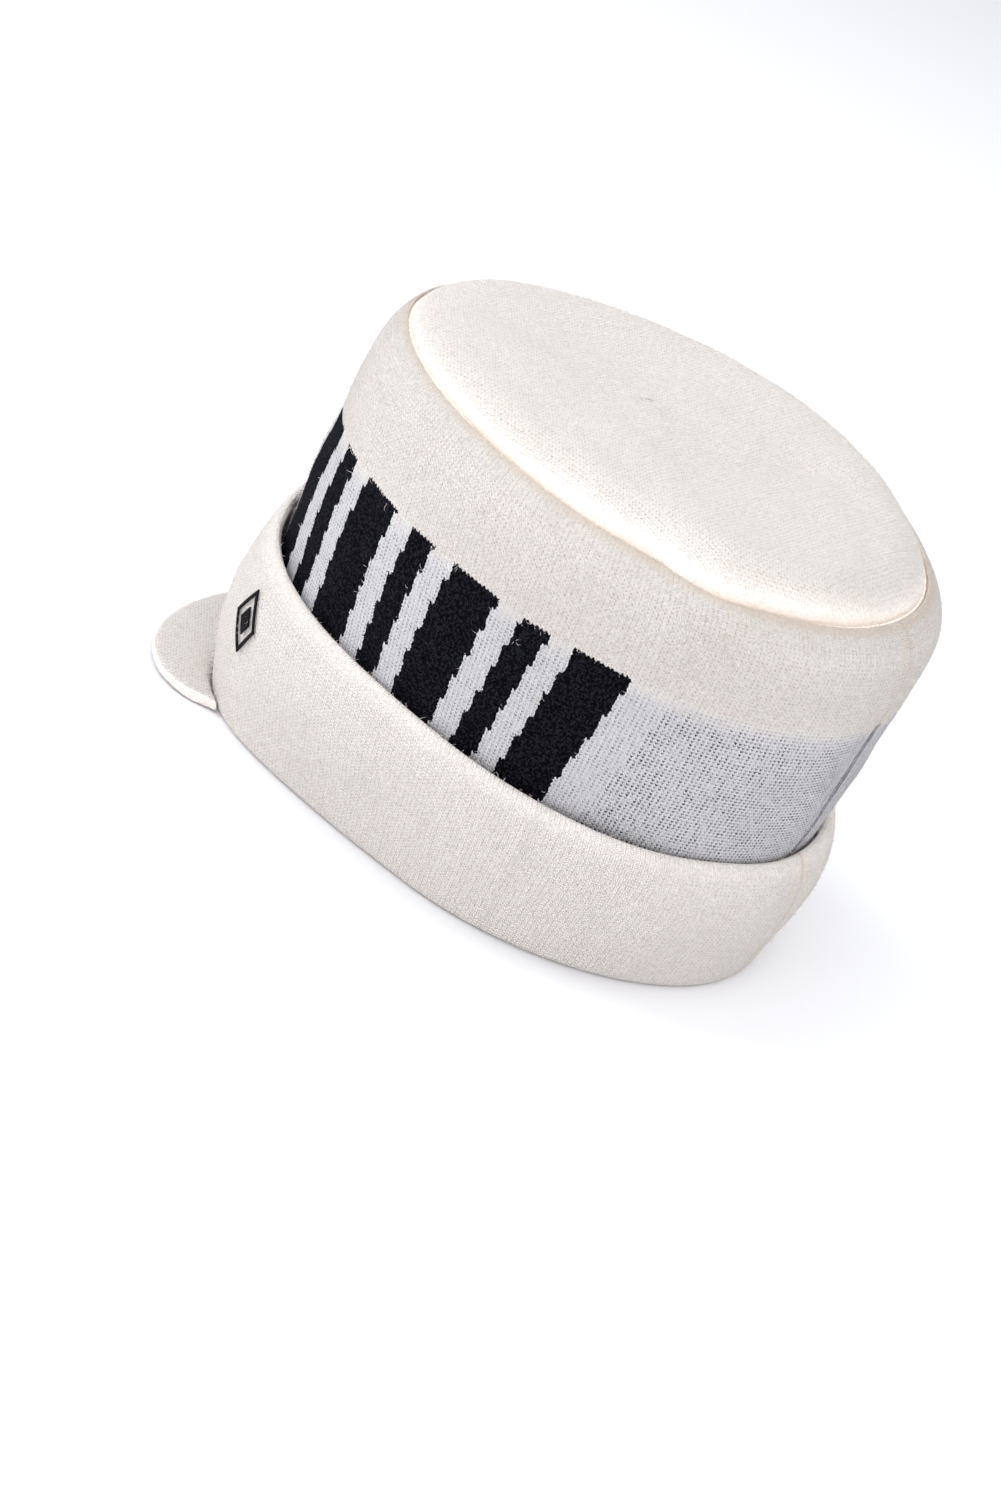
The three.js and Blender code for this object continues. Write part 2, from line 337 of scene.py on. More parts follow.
def around(spots, middle):
    # each vertex from the cap's middle line: plan, reach, and turn from the back by the left
    plan = spots[:, :2] - np.array([backSeam, middle])
    turn = np.arctan2(plan[:, 0], plan[:, 1]) % fullTurn
    return plan, np.hypot(plan[:, 0], plan[:, 1]), turn


def sectorsOf(turn, count):
    return (turn / fullTurn * count).astype(int) % count


def fromSectors(turn, values):
    # the value at any turn, between those at the middles of the sectors
    centres = (np.arange(len(values)) + 0.5) * fullTurn / len(values)
    return np.interp(turn, centres, values, period=fullTurn)


# A knit map in metres for a tube of cloth: across from the back seam round by the wearer's left,
# and up from the foot, following the slope of its edge and rolling over it
mapSet = {
    "ticks": 181,
    "sectors": 90,
    "ringBand": 0.004,
    "edgeBand": 0.012,
    "seamSide": 0.2,
}


def mapKnit(piece, kit):
    mesh = piece.data
    spots = places(mesh)
    plan, reach, turn = around(spots, kit["middle"])
    outside = (faceOut(mesh)[:, :2] * plan).sum(1) > 0
    # true lengths round a ring at middle height
    ring = np.where(outside & (np.abs(spots[:, 2] - kit["ring"]) < mapSet["ringBand"]))[0]
    ring = ring[np.argsort(turn[ring])]
    ticks = np.linspace(0, fullTurn, mapSet["ticks"])
    rounded = np.interp(ticks, turn[ring], reach[ring], period=fullTurn)
    line = np.stack([rounded * np.sin(ticks), rounded * np.cos(ticks)], 1)
    lengths = np.concatenate([[0], np.cumsum(np.linalg.norm(np.diff(line, axis=0), axis=1))])
    total = float(lengths[-1])
    # the height and reach of the edge at each turn
    sector = sectorsOf(turn, mapSet["sectors"])
    count = range(mapSet["sectors"])
    edgeHeight = np.array([spots[sector == index][:, 2].max() for index in count])
    near = spots[:, 2] > edgeHeight[sector] - mapSet["edgeBand"]
    edgeReach = np.array([reach[(sector == index) & near].max() for index in count])
    mean = float(edgeHeight.mean())
    share = spots[:, 2] / fromSectors(turn, edgeHeight)
    over = np.clip((share - kit["rollFrom"]) / (1 - kit["rollFrom"]), 0, 1)
    up = share * mean + np.clip(fromSectors(turn, edgeReach) - reach, 0, kit["roll"]) * over
    # each face keeps to its own side of the back seam
    owners = loopOwners(mesh)
    starts = np.array([face.loop_start for face in mesh.polygons])
    totals = np.array([face.loop_total for face in mesh.polygons])
    face = np.repeat(np.arange(len(starts)), totals)
    middle = np.add.reduceat(spots[owners][:, 0], starts) / totals
    back = np.add.reduceat(plan[owners][:, 1], starts) > 0
    right = ((middle < backSeam) & back)[face]
    left = ((middle >= backSeam) & back)[face]
    u = np.interp(turn, ticks, lengths)[owners]
    u = np.where(right & (u < total * mapSet["seamSide"]), u + total, u)
    u = np.where(left & (u > total * (1 - mapSet["seamSide"])), u - total, u)
    layer = mesh.uv_layers.new(name="knit")
    layer.data.foreach_set("uv", np.stack([u, up[owners]], 1).reshape(-1))
    print(piece.name, "knit map", round(total, 4), "round", round(mean, 4), "up")
    return total, mean


def knitOf(mesh):
    flat = np.empty(len(mesh.loops) * 2)
    mesh.uv_layers["knit"].data.foreach_get("uv", flat)
    return flat.reshape(-1, 2)


# Cloth tools
def tubeShares(piece, kit):
    # how freely each vertex of a tube may move: not at its foot or its slanted top
    spots = places(piece.data)
    fromFoot = spots[:, 2] - kit["softFrom"]
    fromTop = kit["softTo"] - spots[:, 2] - kit["topSlope"] * spots[:, 1]
    return np.minimum(fromFoot, fromTop) / kit["softFade"]


def soften(piece, kit, shares):
    # slight unevenness of worn cloth, none at the seams
    group = piece.vertex_groups.new(name="soft")
    for index, share in enumerate(np.clip(shares, 0, 1).tolist()):
        group.add([index], share, "REPLACE")
    texture = bpy.data.textures.new(piece.name + "Soft", "CLOUDS")
    texture.noise_scale = kit["softSize"]
    texture.noise_depth = 1
    applyModifier(piece, "DISPLACE", {
        "texture": texture, "strength": kit["softDepth"], "mid_level": 0.5,
        "texture_coords": "LOCAL", "vertex_group": "soft"})


def pressEdge(piece, chosen, depth, size):
    # the edge of a seam drawn down into it
    takeHold(piece, "EDIT")
    bpy.ops.mesh.select_mode(type="VERT")
    bpy.ops.mesh.select_all(action="DESELECT")
    takeHold(piece)
    piece.data.vertices.foreach_set("select", np.array(chosen, bool))
    takeHold(piece, "EDIT")
    bpy.ops.transform.shrink_fatten(
        value=-depth, use_proportional_edit=True, proportional_size=size,
        proportional_edit_falloff="SMOOTH", use_proportional_connected=True)
    takeHold(piece)


def markPoints(piece, name, values):
    mark = piece.data.attributes.new(name, "FLOAT", "POINT")
    mark.data.foreach_set("value", values.astype(np.float32))


def markSeam(piece, away, size):
    # 1 on the seam, 0 beyond size from it
    markPoints(piece, "nearSeam", eased(np.clip(1 - away / size, 0, 1)))


def markLevel(piece):
    # 1 where the cloth lies level, 0 where it stands upright
    lying = np.abs(faceOut(piece.data)[:, 2])
    markPoints(piece, "level", np.clip(lying * 2 - 0.7, 0, 1))


# Yarn and knit shared by all the pieces
# light is the yarn's own colour; shade is the darker colour that the painted shade of hollows and
# upright edges blends to
creamYarn = {
    "light": (1.0, 0.938, 0.908, 1),
    "shade": (0.52, 0.43, 0.36, 1),
    # seam is the seam cord's own warm tan, and also the colour of the painted shade along the seam
    # creases and grooves
    "seam": (0.84, 0.69, 0.56, 1),
}
woolShine = {
    "Roughness": 0.85,
    "Sheen Weight": 0.04,
    "Sheen Roughness": 0.5,
    "Specular IOR Level": 0.2,
}
# deepShade, holeShade, grainShade and pebbleShade paint the shade of the knit's hollows and fine
# relief into the cream colour; slowShade is the wool's own slow mottle
knitSet = {
    "bumpDepth": 0.0011,
    "reliefShare": 0.8,
    "fibreShare": 0.7,
    "grainSize": 560.0,
    "pebbleSize": 1150.0,
    "deepShade": 0.16,
    "holeShade": 0.85,
    "slowShade": 0.06,
    "grainShade": 0.08,
    "pebbleShade": 0.24,
}


def fibres(finish, place, kit):
    # fine loose hairs and slow unevenness of wool, each about 0 to 1
    fine = finish.noise(place, kit["fibreSize"], 4.0, 0.65)
    slow = finish.noise(place, kit["mottleSize"], 2.0)
    return fine, slow


def pebbles(finish, place):
    return finish.noise(place, knitSet["pebbleSize"], 2.0, 0.6)


def knitHeight(relief, fine):
    return relief * knitSet["reliefShare"] + fine * knitSet["fibreShare"]


def creamKnit(finish, relief, hole, place, slow):
    grain = finish.noise(place, knitSet["grainSize"], 1.0)
    # painted shade: the hollows between stitches and the holes round them are darkened in the
    # colour
    deep = (1 - relief.rise(0.0, 0.5)) * knitSet["deepShade"]
    deep = deep + hole * grain.rise(0.25, 0.6) * knitSet["holeShade"]
    tone = finish.blend(deep, creamYarn["light"], creamYarn["shade"])
    # the slow mottle is the wool's own tone; the grain and pebble darkening is painted shade of the
    # fine relief
    mottleAndPaintedShade = slow.rise(0.35, 0.75) * knitSet["slowShade"]
    mottleAndPaintedShade = mottleAndPaintedShade + grain.rise(0.5, 0.75) * knitSet["grainShade"]
    mottleAndPaintedShade = mottleAndPaintedShade + pebbles(finish, place).rise(0.44, 0.62) * knitSet["pebbleShade"]
    return finish.blend(mottleAndPaintedShade, tone, creamYarn["shade"])


# Crown side: the patterned band under plain cream knit
crownSet = {
    "fineness": 2,
    "middle": 0.006,
    "ring": 0.09,
    "roll": 0.012,
    "rollFrom": 0.95,
    "wales": 378,
    "stitchTall": 0.00138,
    "lean": 1.15,
    "wander": 0.85,
    "bandTop": 0.1145,
    "barStart": 0.116,
    "barStep": 0.0482,
    "barCount": 8,
    "wideBar": 0.40,
    "narrowFrom": 0.59,
    "narrowTo": 0.80,
    "barSlant": -0.16,
    "barMargin": 0.3,
    "straySize": 650.0,
    "strayAcross": 1.3,
    "strayUp": 1.1,
    "strayFade": 0.008,
    "clusterSize": 200.0,
    "dotShare": 1.15,
    "pebbleFleck": 0.16,
    "frontCalm": 0.45,
    "white": (0.88, 0.865, 0.905, 1),
    "fleck": (0.04, 0.038, 0.052, 1),
    "black": (0.002, 0.002, 0.003, 1),
    "blackFibre": (0.02, 0.02, 0.03, 1),
    "fibreSize": 1400.0,
    "mottleSize": 38.0,
    "threadAt": 0.001,
    "grooveWide": 0.0016,
    "grooveDepth": 1.2,
    "seamShadeShare": 0.45,
    "seamLow": 0.003,
    "seamWide": 0.006,
    "topSlope": 0.09,
    "softFrom": 0.004,
    "softTo": 0.146,
    "softFade": 0.02,
    "softSize": 0.035,
    "softDepth": 0.0026,
}


def greyKnit(finish, kit, stitch, place, front, deep, slow):
    # black floats behind the white yarn show between its stitches, most at the back
    across, bent = stitch
    chance = finish.node(
        "ShaderNodeTexWhiteNoise", {"noise_dimensions": "2D"},
        {"Vector": finish.point(across.floor() + 0.5, bent.floor() + 0.5)}, 0)
    cluster = finish.noise(place, kit["clusterSize"], 2.0).rise(0.35, 0.65)
    dot = (1 - abs(across.fract() - 0.5) * 1.6) * abs(bent.fract() * 2 - 1)
    show = dot.rise(0.3, 0.6) * (0.35 + chance.rise(0.25, 0.7) * 0.65)
    show = show * (0.7 + cluster * 0.3) * kit["dotShare"]
    show = show + pebbles(finish, place).rise(0.42, 0.6) * kit["pebbleFleck"]
    show = (show * (1 - front * kit["frontCalm"]) * (0.15 + deep * 0.85)).least(1)
    grey = finish.blend(deep, creamYarn["light"], kit["white"])
    grey = finish.blend(show, grey, kit["fleck"])
    return finish.blend(slow.rise(0.4, 0.8) * 0.05, grey, kit["fleck"])


def crownFinish(kit, total):
    finish = Finish("bandedKnit", {"Roughness": 0.95, "Specular IOR Level": 0.04})
    uv = finish.uv()
    wide = total / kit["wales"]
    place = finish.object()
    fine, slow = fibres(finish, place, kit)
    pebble = pebbles(finish, place)
    wander = (fine - 0.5) * kit["wander"]
    across = uv.output(0) / wide
    up = uv.output(1) / kit["stitchTall"]
    relief, hole, bent = stitches(across + wander, up + wander, kit["lean"])
    # each stitch takes one yarn, so the pattern is worked out at its middle
    stray = finish.noise(place, kit["straySize"], 2.0, 0.7) - 0.5
    column = (across + stray * kit["strayAcross"]).floor() * wide
    row = (bent + stray * kit["strayUp"]).floor() * kit["stitchTall"]
    cream = row > kit["bandTop"]
    along = (column - row * kit["barSlant"] - kit["barStart"]) / kit["barStep"]
    step = along.fract()
    bar = (step < kit["wideBar"]).most((step > kit["narrowFrom"]) * (step < kit["narrowTo"]))
    bar = bar * (along > 0) * (along < kit["barCount"])
    front = (along > -kit["barMargin"]) * (along < kit["barCount"] + kit["barMargin"])
    deep = (kit["bandTop"] - uv.output(1) + stray * kit["strayFade"]).rise(-0.003, 0.009)
    grey = greyKnit(finish, kit, (across + wander, bent), place, front, deep, slow)
    dark = finish.blend(pebble.rise(0.45, 0.62), kit["black"], kit["blackFibre"])
    band = finish.blend(bar, grey, dark)
    colour = finish.blend(cream, band, creamKnit(finish, relief, hole, place, slow))
    # the back seam, with dark thread where it crosses the band and painted shade in its groove
    away = uv.output(0).least(total - uv.output(0))
    thread = 1 - abs(away - kit["threadAt"]).rise(0.0003, 0.001)
    thread = thread * (1 - cream) * pebble.rise(0.35, 0.5)
    groove = 1 - away.rise(0.0, kit["grooveWide"])
    # painted shade: the back seam's groove is tinted warm tan
    colour = finish.blend(groove * cream * kit["seamShadeShare"], colour, creamYarn["seam"])
    colour = finish.blend(thread, colour, kit["fleck"])
    # painted shade: a warm tan band along the crease of the top seam
    colour = finish.blend(finish.mark("nearSeam") * kit["seamShadeShare"], colour, creamYarn["seam"])
    height = knitHeight(relief, fine) - groove * kit["grooveDepth"]
    return finish.paint(colour, height, knitSet["bumpDepth"])


def makeCrownSide(kit):
    piece = clothCopy("crown_side", "crownSide", kit["fineness"])
    total, mean = mapKnit(piece, kit)
    height = np.zeros(len(piece.data.vertices))
    height[loopOwners(piece.data)] = knitOf(piece.data)[:, 1]
    markSeam(piece, height.max() - kit["seamLow"] - height, kit["seamWide"])
    soften(piece, kit, tubeShares(piece, kit))
    piece.data.materials.append(crownFinish(kit, total))
    return piece


crownSide = makeCrownSide(crownSet)
print("crown side made")


# Cuff: turned-up cream knit with a soft rolled edge
cuffSet = {
    "fineness": 2,
    "middle": 0.002,
    "ring": 0.035,
    "roll": 0.009,
    "rollFrom": 0.93,
    "wales": 366,
    "stitchTall": 0.00138,
    "lean": 1.15,
    "wander": 0.5,
    "fibreSize": 1300.0,
    "mottleSize": 34.0,
    "grooveWide": 0.0018,
    "grooveDepth": 1.3,
    "seamShadeShare": 0.6,
    "topSlope": 0.09,
    "softFrom": 0.006,
    "softTo": 0.064,
    "softFade": 0.02,
    "softSize": 0.03,
    "softDepth": 0.0022,
    "sectors": 72,
    "facing": 0.5,
    "wallBand": 0.006,
    "cuffBelow": 0.006,
    "crownBelow": 0.004,
    "hugTall": 0.03,
    "hugGap": -0.0008,
    "hugMost": 0.012,
    "hugFront": 0.6,
}


def cuffFinish(kit, total, edge):
    finish = Finish("creamKnit", woolShine)
    uv = finish.uv()
    place = finish.object()
    fine, slow = fibres(finish, place, kit)
    wander = (fine - 0.5) * kit["wander"]
    across = uv.output(0) * (kit["wales"] / total)
    up = uv.output(1) / kit["stitchTall"]
    relief, hole, bent = stitches(across + wander, up + wander, kit["lean"])
    # wales stand out as short ribs where the cloth bends over its edge
    nearEdge = (uv.output(1) - edge).rise(-0.009, 0.001)
    rib = 1 - (across.fract() * 2 - 1) ** 2
    relief = relief * (1 - nearEdge * 0.5) + rib * nearEdge * (0.3 + fine * 0.5)
    colour = creamKnit(finish, relief, hole, place, slow)
    away = uv.output(0).least(total - uv.output(0))
    groove = 1 - away.rise(0.0, kit["grooveWide"])
    # painted shade: the back seam's groove is tinted warm tan
    colour = finish.blend(groove * kit["seamShadeShare"], colour, creamYarn["seam"])
    height = knitHeight(relief, fine) - groove * kit["grooveDepth"]
    return finish.paint(colour, height, knitSet["bumpDepth"])


def ringOf(piece, kit, inward, heights):
    # reach of a tube's inner or outer wall near a height, for each sector
    spots = places(piece.data)
    plan, reach, turn = around(spots, kit["middle"])
    sector = sectorsOf(turn, kit["sectors"])
    facing = (faceOut(piece.data)[:, :2] * plan).sum(1) / reach
    wall = facing < -kit["facing"] if inward else facing > kit["facing"]
    pick = np.min if inward else np.max
    found = []
    for index, height in enumerate(heights):
        near = (sector == index) & wall & (np.abs(spots[:, 2] - height) < kit["wallBand"])
        found.append(pick(reach[near]))
    return np.array(found)


def hugCrown(piece, crown, kit):
    # the cuff's edge drawn in to the crown, all the way behind and less in front
    spots = places(piece.data)
    plan, reach, turn = around(spots, kit["middle"])
    sector = sectorsOf(turn, kit["sectors"])
    edge = np.array([spots[sector == index][:, 2].max() for index in range(kit["sectors"])])
    inner = ringOf(piece, kit, True, edge - kit["cuffBelow"])
    stands = evened(inner - ringOf(crown, kit, False, edge - kit["crownBelow"]), 4)
    gap = fromSectors(turn, stands) - kit["hugGap"]
    top = fromSectors(turn, evened(edge, 2))
    lift = eased(np.clip(1 - (top - spots[:, 2]) / kit["hugTall"], 0, 1))
    behind = np.clip((plan[:, 1] / reach + 0.5) / 0.8, 0, 1)
    share = kit["hugFront"] + (1 - kit["hugFront"]) * behind
    move = np.clip(gap, 0, kit["hugMost"]) * lift * share
    print("cuff stood open", stands.min().round(4), stands.max().round(4))
    inward = -plan / reach[:, None] * move[:, None]
    shiftPoints(piece, np.column_stack([inward, 0 * move]))


def makeCuff(kit, crown):
    piece = clothCopy("cuff", "cuffCloth", kit["fineness"])
    total, tall = mapKnit(piece, kit)
    hugCrown(piece, crown, kit)
    soften(piece, kit, tubeShares(piece, kit))
    piece.data.materials.append(cuffFinish(kit, total, tall))
    return piece


cuff = makeCuff(cuffSet, crownSide)
print("cuff made")


# Crown top and peak: the same cream knit, its wales running front to back
flatSet = {
    "fineness": 2,
    "stitchWide": 0.00165,
    "stitchTall": 0.00138,
    "lean": 1.15,
    "wander": 0.5,
    "fibreSize": 1300.0,
    "mottleSize": 34.0,
    "uprightRelief": 0.22,
    # uprightShade: painted shade on upright edges
    "uprightShade": 0.16,
    "uprightPebble": 0.6,
    "seamShadeShare": 0.5,
    "sectors": 120,
    "edgeWide": 0.0008,
    "seamDepth": 0.0005,
    "seamSpread": 0.006,
    "seamWide": 0.0018,
    "puff": 0.0075,
    "puffWide": 0.017,
    "puffFade": 0.05,
    "overhang": 0.0012,
    "overhangFrom": 0.003,
    "overhangTo": 0.03,
    "foldAt": 0.8,
    "foldWide": 0.7,
    "softFade": 0.02,
    "softSize": 0.032,
    "softDepth": 0.0042,
}


def flatFinish(kit, name, seamed):
    finish = Finish(name, woolShine)
    place = finish.object()
    fine, slow = fibres(finish, place, kit)
    wander = (fine - 0.5) * kit["wander"]
    spot = finish.node("ShaderNodeSeparateXYZ", {}, {0: place})
    relief, hole, bent = stitches(
        spot.output(0) / kit["stitchWide"] + wander,
        spot.output(1) / kit["stitchTall"] + wander, kit["lean"])
    # upright edges have no stitches of their own, so they keep an even grain, and painted shade
    # darkens them evenly in place of the knit's shading
    level = finish.mark("level")
    upright = 1 - level
    relief = relief * level + upright * kit["uprightRelief"]
    colour = creamKnit(finish, relief, hole * level, place, slow)
    # painted shade on the upright edges
    colour = finish.blend(upright * kit["uprightShade"], colour, creamYarn["shade"])
    if seamed:
        # painted shade: a warm tan band along the crease of the top seam
        tint = finish.mark("nearSeam") * kit["seamShadeShare"]
        colour = finish.blend(tint, colour, creamYarn["seam"])
    pebble = pebbles(finish, place) * upright * kit["uprightPebble"]
    return finish.paint(colour, knitHeight(relief, fine) + pebble, knitSet["bumpDepth"])


def edgeOf(piece, kit):
    # how far each vertex lies inside the widest ring, and its turn
    plan, reach, turn = around(places(piece.data), crownSet["middle"])
    sector = sectorsOf(turn, kit["sectors"])
    widest = np.array([reach[sector == index].max() for index in range(kit["sectors"])])
    return fromSectors(turn, widest) - reach, turn


def puffTop(piece, kit):
    # the panel stands up from its seam, most at the fold on the back left
    away, turn = edgeOf(piece, kit)
    pressEdge(piece, away < kit["edgeWide"], kit["seamDepth"], kit["seamSpread"])
    away, turn = edgeOf(piece, kit)
    rise = np.clip(away / kit["puffWide"], 0, 1)
    fall = eased(np.clip((away - kit["puffWide"]) / kit["puffFade"], 0, 1))
    fromFold = np.abs((turn - kit["foldAt"] + math.pi) % fullTurn - math.pi)
    fold = np.exp(-((fromFold / kit["foldWide"]) ** 2))
    puff = kit["puff"] * (rise * (2 - rise)) * (1 - 0.6 * fall) * (0.3 + 0.7 * fold)
    above = np.clip(faceOut(piece.data)[:, 2], 0, 1)
    # the roll leans out over the seam at the fold
    lean = kit["overhang"] * fold * np.clip(away / kit["overhangFrom"], 0, 1)
    lean = lean * np.clip(1 - away / kit["overhangTo"], 0, 1)
    shiftPoints(piece, np.stack([np.sin(turn) * lean, np.cos(turn) * lean, puff * above], 1))
    return away


def makeCrownTop(kit):
    piece = clothCopy("crown_top", "crownTop", kit["fineness"])
    away = puffTop(piece, kit)
    soften(piece, kit, away / kit["softFade"])
    markSeam(piece, away, kit["seamWide"])
    markLevel(piece)
    piece.data.materials.append(flatFinish(kit, "topCreamKnit", True))
    return piece


def makePeak(kit):
    piece = clothCopy("peak", "peakCloth", kit["fineness"])
    markLevel(piece)
    piece.data.materials.append(flatFinish(kit, "peakCreamKnit", False))
    return piece


crownTop = makeCrownTop(flatSet)
peak = makePeak(flatSet)
print("crown top and peak made")


# Seam: the sewn line round the top, seen between the two puffed edges
seamSet = {
    "points": 200,
    "nearTurn": 0.04,
    "radius": 0.0014,
    "rise": -0.0006,
    "inward": 0.0005,
    "fibreSize": 700.0,
    "bumpDepth": 0.001,
}


def seamFinish(kit):
    finish = Finish("seamYarn", woolShine)
    fine = finish.noise(finish.object(), kit["fibreSize"], 2.0)
    colour = finish.blend(fine.rise(0.4, 0.6) * 0.8, creamYarn["seam"], creamYarn["light"])
    return finish.paint(colour, fine, kit["bumpDepth"])


def seamLine(panel, kit, angles):
    # reach and height of the panel's edge at each angle
    spots = places(panel.data)
    plan, reach, turn = around(spots, crownSet["middle"])
    line = []
    for angle in angles:
        gap = np.abs((turn - angle + math.pi) % fullTurn - math.pi)
        near = np.where(gap < kit["nearTurn"])[0]
        best = near[np.argmax(reach[near])]
        line.append((reach[best] - kit["inward"], spots[best][2] + kit["rise"]))
    return evened(np.array(line), 2)


def makeSeam(panel, kit):
    angles = [fullTurn * index / kit["points"] for index in range(kit["points"])]
    curve = bpy.data.curves.new("topSeam", "CURVE")
    curve.dimensions = "3D"
    spline = curve.splines.new("POLY")
    spline.points.add(kit["points"] - 1)
    spline.use_cyclic_u = True
    for point, angle, (far, z) in zip(spline.points, angles, seamLine(panel, kit, angles)):
        x = backSeam + far * math.sin(angle)
        y = crownSet["middle"] + far * math.cos(angle)
        point.co = (x, y, z, 1)
    curve.bevel_depth = kit["radius"]
    curve.bevel_resolution = 2
    seam = bpy.data.objects.new("topSeam", curve)
    bpy.context.scene.collection.objects.link(seam)
    takeHold(seam)
    bpy.ops.object.convert(target="MESH")
    bpy.ops.object.shade_smooth()
    seam = bpy.context.object
    seam.data.materials.clear()
    seam.data.materials.append(seamFinish(kit))
    return seam


topSeam = makeSeam(crownTop, seamSet)
print("top seam made")


# Motif: a plain embroidered lozenge on the cuff
motifSet = {
    "place": (0.0668, -0.0712, 0.0418),
    "half": (0.0085, 0.0125),
    "border": 0.0011,
    "heart": (0.0036, 0.0055),
    "raise": 0.0006,
    "thread": (0.003, 0.003, 0.004, 1),
    "threadSheen": (0.009, 0.009, 0.012, 1),
    "threadSize": 0.0004,
    "threadSlope": 0.4,
    "bumpDepth": 0.0002,
    "castFrom": 0.012,
    "offset": 0.0005,
    "cuts": 7,
}


def motifFinish(kit):
    finish = Finish("blackEmbroidery", {"Roughness": 0.8, "Specular IOR Level": 0.1})
    place = finish.object()
    spot = finish.node("ShaderNodeSeparateXYZ", {}, {0: place})
    lay = (spot.output(2) + spot.output(0) * kit["threadSlope"]) / kit["threadSize"]
    thread = 1 - (lay.fract() * 2 - 1) ** 2
    # painted sheen: each thread is lighter along its crest
    colour = finish.blend(thread.rise(0.3, 1.0) * 0.6, kit["thread"], kit["threadSheen"])
    return finish.paint(colour, thread, kit["bumpDepth"])


def makeMotif(ground, kit):
    mesh = ground.data
    middle = Vector(kit["place"])
    near = int(np.argmin(np.linalg.norm(places(mesh) - np.array(kit["place"]), axis=1)))
    out = Vector(faceOut(mesh)[near])
    level = Vector((0, 0, 1)).cross(out).normalized()
    rise = out.cross(level)
    bpy.ops.object.select_all(action="DESELECT")
    bpy.ops.mesh.primitive_circle_add(vertices=4, radius=1, fill_type="NGON")
    motif = bpy.context.object
    motif.name = "motif"
    takeHold(motif, "EDIT")
    bpy.ops.mesh.select_all(action="SELECT")
    bpy.ops.transform.resize(value=(kit["half"][0], kit["half"][1], 1))
    bpy.ops.mesh.select_mode(type="FACE")
    bpy.ops.mesh.select_all(action="SELECT")
    bpy.ops.mesh.inset(thickness=kit["border"])
    bpy.ops.mesh.delete(type="FACE")
    bpy.ops.mesh.primitive_circle_add(vertices=4, radius=1, fill_type="NGON")
    bpy.ops.transform.resize(value=(kit["heart"][0], kit["heart"][1], 1))
    bpy.ops.mesh.select_all(action="SELECT")
    bpy.ops.mesh.subdivide(number_cuts=kit["cuts"])
    bpy.ops.mesh.quads_convert_to_tris()
    takeHold(motif)
    turn = Matrix((level, rise, out)).transposed().to_4x4()
    motif.data.transform(Matrix.Translation(middle + out * kit["castFrom"]) @ turn)
    applyModifier(motif, "SHRINKWRAP", {
        "wrap_method": "PROJECT", "target": ground, "use_negative_direction": True,
        "use_positive_direction": False, "use_project_z": False,
        "offset": kit["offset"]})
    applyModifier(motif, "SOLIDIFY", {"thickness": kit["raise"], "offset": 1.0})
    bpy.ops.object.shade_smooth_by_angle(angle=math.radians(40))
    motif.data.materials.append(motifFinish(kit))
    return motif


motif = makeMotif(cuff, motifSet)
print("motif made")


# Fuzz: loose fibres standing off the wool, each a thin bent spike
fuzzSet = {
    "seed": 7,
    "thick": 0.00006,
    "short": 0.0012,
    "long": 0.0036,
    "crownCount": 9000,
    "cuffCount": 8000,
    "topCount": 6000,
    "peakCount": 1200,
    "sunk": 0.0002,
    "topReach": 0.08,
    "outerFrom": 0.01,
    "tintSize": 900.0,
}


def fuzzFinish(name, colour, tip):
    finish = Finish(name, {"Roughness": 0.9, "Specular IOR Level": 0.1})
    fine = finish.noise(finish.object(), fuzzSet["tintSize"])
    tinted = finish.blend(fine.rise(0.3, 0.7), colour, tip)
    finish.join(tinted, finish.shader.inputs["Base Color"])
    return finish.material


def outerFaces(mesh, kit):
    # the middles, normals and areas of the faces, those on the inside left without area
    centres = faceValues(mesh, "center", 3)
    normals = faceValues(mesh, "normal", 3)
    areas = faceValues(mesh, "area", 1)[:, 0]
    outer = (normals[:, :2] * centres[:, :2]).sum(1) + kit["topReach"] * normals[:, 2]
    return centres, normals, np.where(outer > kit["outerFrom"], areas, 0)


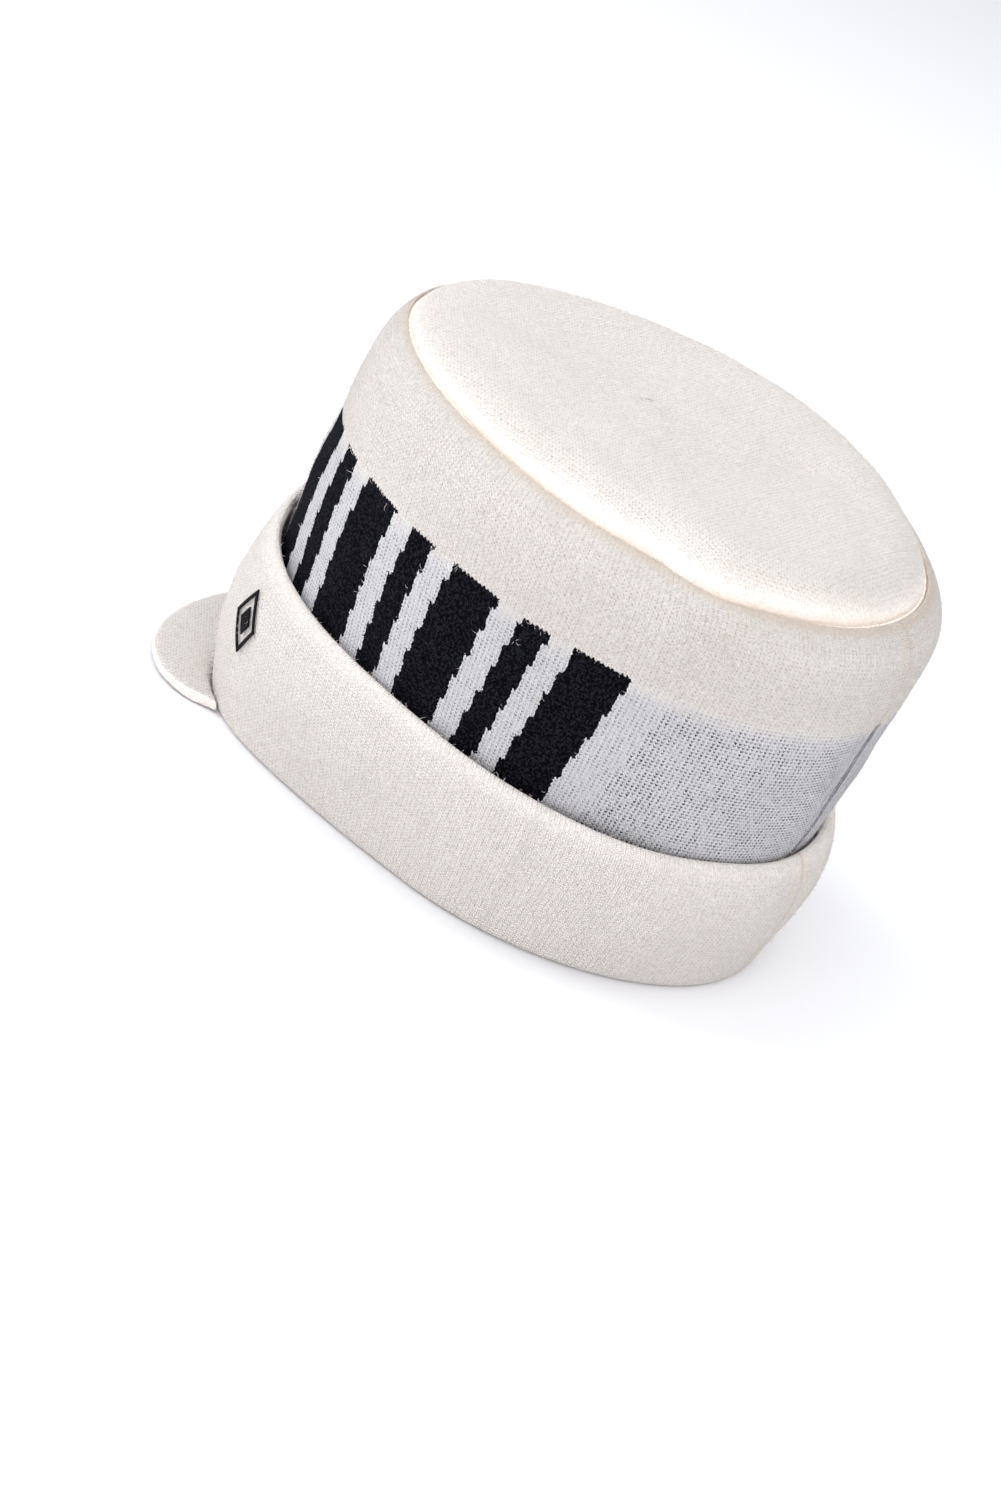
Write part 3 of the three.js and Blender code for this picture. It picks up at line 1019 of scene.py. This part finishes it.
def growFuzz(name, ground, count, kit, material, wanted=None):
    draw = np.random.default_rng(kit["seed"] + count)
    centres, normals, areas = outerFaces(ground.data, kit)
    chosen = draw.choice(len(areas), count, p=areas / areas.sum())
    spread = np.sqrt(areas[chosen])[:, None]
    out = normals[chosen]
    side = np.cross(out, draw.normal(size=(count, 3)))
    side /= np.linalg.norm(side, axis=1)[:, None]
    roots = centres[chosen] + side * spread * draw.uniform(-0.5, 0.5, (count, 1))
    if wanted is not None:
        keep = wanted(ground, chosen)
        roots, out, side = roots[keep], out[keep], side[keep]
        count = len(roots)
    length = draw.uniform(kit["short"], kit["long"], (count, 1))
    cross = np.cross(out, side)
    lean = draw.uniform(0.3, 1.0, (count, 1))
    turned = cross * draw.uniform(-0.6, 0.6, (count, 1))
    bend = roots + length * 0.5 * (out * 0.6 + side * lean)
    tip = bend + length * 0.5 * (out * 0.25 + side * lean + turned)
    # two rings of three points and a tip for each fibre
    points = []
    for base, size in ((roots - out * kit["sunk"], 1.0), (bend, 0.8)):
        for third in range(3):
            angle = third * fullTurn / 3
            ring = math.cos(angle) * out + math.sin(angle) * cross
            points.append(base + ring * kit["thick"] * size)
    points.append(tip)
    vertices = np.stack(points, 1).reshape(-1, 3)
    pattern = [(0, 1, 4, 3), (1, 2, 5, 4), (2, 0, 3, 5), (3, 4, 6), (4, 5, 6), (5, 3, 6), (2, 1, 0)]
    shapes = []
    for first in range(0, count * len(points), len(points)):
        shapes += [tuple(first + corner for corner in face) for face in pattern]
    made = bpy.data.meshes.new(name)
    made.from_pydata(vertices.tolist(), [], shapes)
    made.materials.append(material)
    fuzz = bpy.data.objects.new(name, made)
    bpy.context.scene.collection.objects.link(fuzz)
    takeHold(fuzz, "EDIT")
    bpy.ops.mesh.select_all(action="SELECT")
    bpy.ops.mesh.normals_make_consistent(inside=False)
    takeHold(fuzz)
    bpy.ops.object.shade_smooth()
    return fuzz


def onBar(ground, chosen):
    # which of the chosen faces lie on a dark bar
    kit = crownSet
    first = np.array([ground.data.polygons[int(index)].loop_start for index in chosen])
    uv = knitOf(ground.data)[first]
    along = (uv[:, 0] - uv[:, 1] * kit["barSlant"] - kit["barStart"]) / kit["barStep"]
    step = along % 1
    bar = (step < kit["wideBar"]) | ((step > kit["narrowFrom"]) & (step < kit["narrowTo"]))
    return bar & (along > 0) & (along < kit["barCount"]) & (uv[:, 1] < kit["bandTop"])


creamFuzz = fuzzFinish("creamFibre", (0.86, 0.82, 0.78, 1), (0.90, 0.87, 0.84, 1))
blackFuzz = fuzzFinish("blackFibre", (0.01, 0.01, 0.014, 1), (0.055, 0.055, 0.07, 1))
crownCount = fuzzSet["crownCount"]
fuzzes = [
    (growFuzz("crownFuzz", crownSide, crownCount, fuzzSet, creamFuzz,
              lambda ground, chosen: ~onBar(ground, chosen)), "cream_knit"),
    (growFuzz("crownDarkFuzz", crownSide, crownCount + 1, fuzzSet, blackFuzz, onBar),
     "patterned_knit"),
    (growFuzz("cuffFuzz", cuff, fuzzSet["cuffCount"], fuzzSet, creamFuzz), "cream_knit"),
    (growFuzz("topFuzz", crownTop, fuzzSet["topCount"], fuzzSet, creamFuzz), "cream_knit"),
    (growFuzz("peakFuzz", peak, fuzzSet["peakCount"], fuzzSet, creamFuzz), "cream_knit"),
]
for piece, slot in fuzzes + [(topSeam, "cream_knit"), (motif, "patterned_knit")]:
    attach(piece, "root")
print("fuzz grown")


for piece, node, slot in (
        (crownSide, "crown_side", "patterned_knit"), (cuff, "cuff", "cream_knit"),
        (crownTop, "crown_top", "cream_knit"), (peak, "peak", "cream_knit")):
    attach(piece, "root")
    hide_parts(node)
